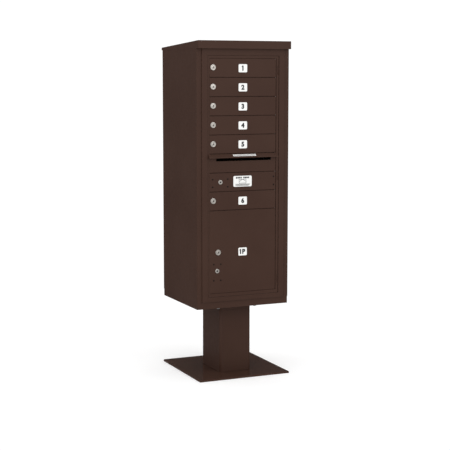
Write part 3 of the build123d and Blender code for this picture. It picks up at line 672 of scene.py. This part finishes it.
def make_lock_plugs(finish):
    """Each cam lock's turning plug with its keyway, a near-black block set in the keyway as painted shade,
    and the cam blade on its tail.
    """
    nodes = {f"tenant_cam_{n}": (f"cam_{n}", f"tenant_lock_{n}") for n in DOORS}
    nodes["parcel_cam"] = ("parcel_lock_cam", "parcel_lock")
    low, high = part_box("tenant_cam_1")
    cam_back = high.y
    cam_thickness = 2.0 * MM
    length = cam_back - low.y - cam_thickness
    plug = turned("plug", 6.95 * MM, length, 40)
    choose_faces(plug, is_front)
    push_faces([("in", 0.9 * MM), ("out", -0.3 * MM), ("in", 0.35 * MM), ("out", 0.3 * MM)], FRONT)
    leave_edit()
    bevelled(plug, 0.12 * MM, 2, 50.0)

    outside, bottom = -length - 5 * MM, -length + 9 * MM
    half_width, half_height = 1.8 * MM, 4.8 * MM
    keyway = slab("keyway_cutter", (-half_width, outside, -half_height), (half_width, bottom, half_height))
    bevelled(keyway, 0.5 * MM, 2, 60.0)
    cut_away(plug, keyway)
    ward = slab("ward_cutter", (0.3 * MM, outside, -1.8 * MM), (2.1 * MM, bottom, -0.4 * MM))
    cut_away(plug, ward)
    smooth(plug)

    clear = 0.1 * MM
    shade_block_half, shade_block_rise = half_width - clear, half_height - 2 * clear
    for node, (body, lock) in nodes.items():
        centre = middle_of(lock)
        tail = Vector((centre.x, cam_back - cam_thickness, centre.z))
        twin = copy_at(plug, f"{node}_plug", tail)
        finish_piece(twin, f"{node}_plug", finish["nickel"], body)
        # A near-black block inside the keyway: painted shade of the keyway's depth.
        keyway_shade_block = slab("keyway_shade_block", (-shade_block_half, -length + 0.8 * MM, -shade_block_rise),
                       (shade_block_half, bottom - 4 * clear, shade_block_rise))
        bevelled(keyway_shade_block, 0.2 * MM, 2, 50.0)
        keyway_shade_block.location = tail
        settle(keyway_shade_block)
        finish_piece(keyway_shade_block, f"{node}_shutter", finish["keyway"], body)
        cam = make_cam(centre.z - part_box(node)[0].z, cam_thickness)
        cam.location = tail + Vector((0, cam_thickness, 0))
        settle(cam)
        smooth(cam)
        finish_piece(cam, f"{node}_blade", finish["zinc"], body)
        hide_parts(node)
        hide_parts(node)
    bpy.data.objects.remove(plug)


def make_cam(reach, thickness):
    """A pressed cam blade that hangs from the plug's tail, its corners rounded."""
    half_width = 6.0 * MM
    above_axis = 7.0 * MM
    cam = slab("cam", (-half_width, -thickness, -reach), (half_width, 0, above_axis))
    choose_edges(cam, runs_back)
    bpy.ops.mesh.bevel(offset=4.2 * MM, segments=6, affect="EDGES")
    leave_edit()
    bevelled(cam, 0.3 * MM, 2, 50.0)
    return cam


def make_carrier_plugs(finish):
    """The turning plugs of the two carrier locks: a turned ring round a keyhole with a pin in it, and a
    near-black disc deep in the keyhole as painted shade.
    """
    face_radius = 10.5 * MM
    face_thickness = 1.5 * MM
    keyhole_radius = 4.0 * MM
    for node, body in {"master_lock_plug": "master_plug", "carrier_lock_plug": "carrier_plug"}.items():
        low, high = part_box(node)
        joint = next(j for j in frame["joints"] if j["child"] == body and j["type"] == "hinge")
        axis = Vector(joint["pos_m"])
        face_back = low.y + face_thickness
        offset = Vector((axis.x, face_back, axis.z))
        ring = turned("ring", face_radius, face_thickness, 56)
        choose_faces(ring, is_front)
        push_faces([("in", 1.6 * MM)], FRONT)
        leave_edit()
        bevelled(ring, 0.6 * MM, 4, 50.0)
        choose_faces(ring, is_front_middle)
        push_faces([("in", 0.7 * MM), ("out", -0.4 * MM), ("in", 2.0 * MM), ("out", 0.3 * MM),
                    ("in", 0.6 * MM)], FRONT)
        leave_edit()
        # Here too the rim's last strip goes along: the neck ends in a disc wider than itself.
        neck_length = (high.y - 1 * MM - face_back) * 0.62
        choose_faces(ring, is_back)
        push_faces([("in", 2.6 * MM), ("out", -neck_length)], FRONT)
        leave_edit()
        bore = turned("bore", keyhole_radius, 40 * MM, 40)
        bore.location = (0, 16 * MM, 0)
        settle(bore)
        cut_away(ring, bore)
        smooth(ring)
        ring.location = offset
        settle(ring)
        finish_piece(ring, f"{node}_face", finish["nickel"], body)

        pin = turned("pin", 1.5 * MM, 12 * MM, 24)
        choose_faces(pin, is_front)
        push_faces([("in", 0.4 * MM), ("out", 0.4 * MM)], FRONT)
        leave_edit()
        bevelled(pin, 0.2 * MM, 2, 30.0)
        smooth(pin)
        pin.location = offset + Vector((0, 14.5 * MM, 0))
        settle(pin)
        finish_piece(pin, f"{node}_pin", finish["zinc"], body)

        # A near-black disc inside the keyhole: painted shade of the keyhole's depth.
        keyhole_shade_disc = turned("keyhole_shade_disc", keyhole_radius - 0.1 * MM, 2 * MM, 40)
        keyhole_shade_disc.location = offset + Vector((0, 3.5 * MM, 0))
        settle(keyhole_shade_disc)
        finish_piece(keyhole_shade_disc, f"{node}_well", finish["keyway"], body)
        drive = frame["nodes"][node]
        drive.data.materials.clear()
        drive.data.materials.append(finish["nickel"])
        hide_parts(node)


# ---------------------------------------------------------------- studs and rivets
def make_studs(finish):
    """Domed heads over the studs and rivets round the carrier locks."""
    shoulder = 1.2 * MM
    shank_inset = 1.1 * MM
    for node, body in {"lock_panel_studs": "master_door", "carrier_lock_studs": "parcel"}.items():
        low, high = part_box(node)
        first = turned("stud", STUD_RADIUS, 0.35 * MM, 28)
        choose_faces(first, is_front)
        push_faces([("out", 0.35 * MM), ("in", 0.5 * MM), ("out", 0.25 * MM), ("in", 1.1 * MM),
                    ("out", 0.15 * MM), ("in", 0.9 * MM)], FRONT)
        leave_edit()
        choose_faces(first, is_back)
        push_faces([("in", shank_inset), ("out", -(high.y - low.y - shoulder))], FRONT)
        leave_edit()
        bevelled(first, 0.12 * MM, 2, 25.0)
        smooth(first, 50.0)
        made = []
        for number, (x, z) in enumerate(stud_centres(frame["nodes"][node].data, low.y), start=1):
            twin = copy_at(first, f"{node}_{number}", Vector((x, low.y + shoulder, z)))
            finish_piece(twin, f"{node}_{number}", finish["stud"], body)
            made.append(twin)
        for twin in made:
            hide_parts(node)
        bpy.data.objects.remove(first)


def stud_centres(mesh, front_y):
    """The centres, seen from the front, of the round heads that lie at a node's front plane."""
    at_front = [v.co for v in mesh.vertices if v.co.y < front_y + 0.1 * MM]
    heads = []
    for point in sorted({(round(co.x, 5), round(co.z, 5)) for co in at_front}):
        home = next((head for head in heads if (head[0][0] - point[0]) ** 2
                     + (head[0][1] - point[1]) ** 2 < (2.2 * STUD_RADIUS) ** 2), None)
        if home is None:
            heads.append([point])
        else:
            home.append(point)
    centres = []
    for head in heads:
        xs = [x for x, _ in head]
        zs = [z for _, z in head]
        centres.append(((min(xs) + max(xs)) / 2, (min(zs) + max(zs)) / 2))
    return centres


# ---------------------------------------------------------------- plates and labels
def rounded_plate(name, width, height, thickness, corner, rim):
    """A flat plate about the origin with rounded corners and a rim, its back at y = 0."""
    plate = slab(name, (-width / 2, -thickness, -height / 2), (width / 2, 0, height / 2))
    choose_edges(plate, runs_back)
    bpy.ops.mesh.bevel(offset=corner, segments=8, affect="EDGES")
    leave_edit()
    choose_faces(plate, is_front)
    push_faces([("in", rim), ("out", -0.15 * MM), ("in", 0.15 * MM)], FRONT)
    leave_edit()
    bevelled(plate, 0.1 * MM, 2, 50.0)
    smooth(plate)
    return plate


def make_digits(text, name, height, boldness):
    """Upright figures as a thin raised print, centred on the origin, its middle at y = 0."""
    deselect()
    bpy.ops.object.text_add(location=(0, 0, 0), rotation=(0, 0, 0))
    words = bpy.context.object
    words.data.body = text
    words.data.align_x = "CENTER"
    words.data.align_y = "CENTER"
    words.data.size = 1.0
    words.data.bevel_depth = boldness
    words.data.bevel_resolution = 1
    words.data.space_character = 1.05
    words.data.resolution_u = 6
    words.data.extrude = 0.004
    pick(words)
    bpy.ops.object.convert(target="MESH")
    print_mesh = bpy.context.object
    xs = [v.co.x for v in print_mesh.data.vertices]
    ys = [v.co.y for v in print_mesh.data.vertices]
    scale = height / (max(ys) - min(ys))
    middle = Vector(((max(xs) + min(xs)) / 2, (max(ys) + min(ys)) / 2, 0.0))
    print_mesh.location = (-middle.x * scale, 0.0, -middle.y * scale)
    print_mesh.rotation_euler = (pi / 2, 0, 0)
    print_mesh.scale = (scale, scale, scale * 0.1)
    settle(print_mesh)
    print_mesh.name = name
    return print_mesh


def make_number_plates(finish):
    """A white plate with a raised black number on each door."""
    low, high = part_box("number_plate_1")
    width, height, thickness = high.x - low.x, high.z - low.z, high.y - low.y
    plate = rounded_plate("plate", width, height, thickness, 5 * MM, 1.3 * MM)
    jobs = [(f"number_plate_{n}", f"door_{n}", str(n)) for n in DOORS]
    jobs.append(("parcel_number_plate", "parcel", "1P"))
    for node, body, text in jobs:
        node_low, node_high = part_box(node)
        centre = middle_of(node)
        back = Vector((centre.x, node_high.y, centre.z))
        twin = copy_at(plate, f"{node}_face", back)
        finish_piece(twin, f"{node}_face", finish["white"], body)
        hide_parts(node)
        digits = make_digits(text, f"{node}_print", 24.0 * MM, 0.058)
        digits.location = (centre.x, node_low.y + 0.14 * MM, centre.z + 0.5 * MM)
        settle(digits)
        if text.startswith("1"):
            digits = with_flag(digits, f"{node}_print")
        finish_piece(digits, f"{node}_print", finish["ink"], body)
    bpy.data.objects.remove(plate)


def with_flag(digits, name):
    """A figure one with the short slanting stroke at its top that tells it from a plain bar."""
    points = [v.co for v in digits.data.vertices]
    left = min(p.x for p in points)
    top = max(p.z for p in points)
    flag = printed_bar("flag", 0, 0, 6.5 * MM, 3.6 * MM, 0)
    flag.rotation_euler = (0, -radians(40), 0)
    depth = (min(p.y for p in points) + max(p.y for p in points)) / 2
    flag.location = (left - 0.4 * MM, depth, top - 4.2 * MM)
    settle(flag)
    return join([digits, flag], name)


def printed_bar(name, centre_x, centre_z, width, height, surface):
    """One printed bar, a thin raised slab with rounded ends in front of a surface."""
    bar = slab(name, (centre_x - width / 2, surface - 0.12 * MM, centre_z - height / 2),
               (centre_x + width / 2, surface + 0.1 * MM, centre_z + height / 2))
    choose_edges(bar, runs_back)
    bpy.ops.mesh.bevel(offset=min(width, height) * 0.3, segments=3, affect="EDGES")
    leave_edit()
    return bar


def join(pieces, name):
    """Several pieces made one, under a new name."""
    pick(pieces[0])
    for piece in pieces[1:]:
        piece.select_set(True)
    bpy.ops.object.join()
    pieces[0].name = name
    return pieces[0]


def make_panel_label(finish):
    """The white label on the lock panel, printed with an envelope and plain bars."""
    low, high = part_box("lock_panel")
    front = low.y
    centre = Vector((-6.4 * MM, front, (low.z + high.z) / 2 + 2.0 * MM))
    plate = rounded_plate("label", 95 * MM, 51 * MM, 0.7 * MM, 6 * MM, 1.2 * MM)
    plate.location = centre
    settle(plate)
    finish_piece(plate, "panel_label", finish["white"], "master_door")
    surface = front - 0.55 * MM
    bars = []
    heading = [(-31, 7), (-23, 6), (-15, 7), (-7, 6), (7, 7), (15, 6), (23, 7), (31, 6)]
    for offset, width in heading:
        bars.append(printed_bar("bar", centre.x + offset * MM, centre.z + 17 * MM, width * MM, 8 * MM,
                                surface))
    half_width, half_height, line = 18 * MM, 9 * MM, 1.6 * MM
    for side in (1, -1):
        bars.append(printed_bar("bar", centre.x, centre.z + side * half_height, 2 * half_width + line,
                                line, surface))
    for side in (-1, 1):
        bars.append(printed_bar("bar", centre.x + side * half_width, centre.z, line,
                                2 * half_height + line, surface))
    for side in (-1, 1):
        flap = printed_bar("bar", 0, 0, 21 * MM, line, 0)
        flap.rotation_euler = (0, side * radians(31), 0)
        flap.location = (centre.x + side * 9 * MM, surface, centre.z + 4.0 * MM)
        settle(flap)
        bars.append(flap)
    for row, width in enumerate((78, 70, 76, 62)):
        drop = (13.2 + 2.7 * row) * MM
        bars.append(printed_bar("bar", centre.x, centre.z - drop, width * MM, 1.4 * MM, surface))
    print_piece = join(bars, "panel_label_print")
    finish_piece(print_piece, "panel_label_print", finish["ink"], "master_door")


def make_hood_strip(finish):
    """A white strip on the hood's slope, printed with a row of plain arrowheads."""
    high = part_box("slot_hood")[1]
    reach, fall = 17.0 * MM, 14.0 * MM
    slope = Vector((0.0, -reach, -fall))
    outward = Vector((0.0, -fall, reach))
    down_slope = 0.52
    centre = Vector((0.0, high.y, high.z)) + slope * down_slope
    tilt = -FRONT.angle(outward)
    strip = rounded_plate("strip", 118 * MM, 12.0 * MM, 0.5 * MM, 1.5 * MM, 0.5 * MM)
    marks = []
    pitch = 6.0 * MM
    count = 18
    for index in range(count):
        x = (index - (count - 1) / 2) * pitch
        for side in (-1, 1):
            mark = printed_bar("mark", 0, 0, 5.0 * MM, 2.0 * MM, 0)
            mark.rotation_euler = (0, side * radians(45), 0)
            mark.location = (x, -0.35 * MM, side * 1.35 * MM)
            settle(mark)
            marks.append(mark)
    print_piece = join(marks, "hood_strip_print")
    for piece in (strip, print_piece):
        piece.rotation_euler = (tilt, 0, 0)
        piece.location = centre
        settle(piece)
    finish_piece(strip, "hood_strip", finish["white"], "master_door")
    finish_piece(print_piece, "hood_strip_print", finish["ink"], "master_door")


# ---------------------------------------------------------------- putting it together
make_camera()
make_stage()
FINISH = make_materials()
finish_cad_nodes(FINISH)
make_lock_faces(FINISH)
make_lock_plugs(FINISH)
make_carrier_plugs(FINISH)
make_studs(FINISH)
make_number_plates(FINISH)
make_panel_label(FINISH)
make_hood_strip(FINISH)
